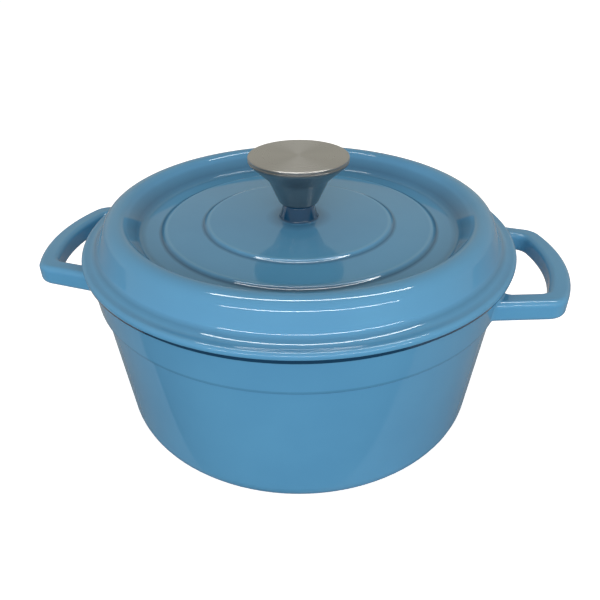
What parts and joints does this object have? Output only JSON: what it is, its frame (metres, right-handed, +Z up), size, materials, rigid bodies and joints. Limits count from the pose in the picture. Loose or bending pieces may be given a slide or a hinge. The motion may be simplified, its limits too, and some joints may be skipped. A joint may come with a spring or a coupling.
{
  "type": "cast iron dutch oven",
  "caption": "Round enamelled cast iron pot with loop handles and a lift-off lid with a steel knob, for slow cooking on a hob or in an oven.",
  "frame": {"origin": "centre of the foot ring, on the surface that the pot stands on", "axes": "+Z up through the knob, X through the two loop handles"},
  "size_m": [0.314, 0.2504, 0.1575],
  "materials": {
    "bare_iron": "matt black, seasoned, as cast",
    "blue_enamel": "glossy fused enamel",
    "cream_enamel": "glossy fused enamel",
    "brushed_steel": "turned and brushed stainless steel",
    "zinc_steel": "bright steel",
    "black_gasket": "matt silicone"
  },
  "bodies": {
    "pot": {"pot_casting": "bare_iron", "pot_outer_enamel": "blue_enamel", "pot_inner_enamel": "cream_enamel"},
    "lid": {"lid_casting": "bare_iron", "lid_outer_enamel": "blue_enamel", "lid_inner_enamel": "cream_enamel", "knob_skirt": "brushed_steel", "knob_cap": "brushed_steel", "knob_threaded_bush": "zinc_steel", "knob_gasket": "black_gasket", "knob_screw": "zinc_steel", "screw_flat_washer": "zinc_steel", "screw_spring_washer": "zinc_steel"}
  },
  "joints": [
    {"name": "lid_lift", "type": "slide", "parent": "pot", "child": "lid", "axis": [0, 0, 1], "range_m": [0, 0.15]}
  ]
}
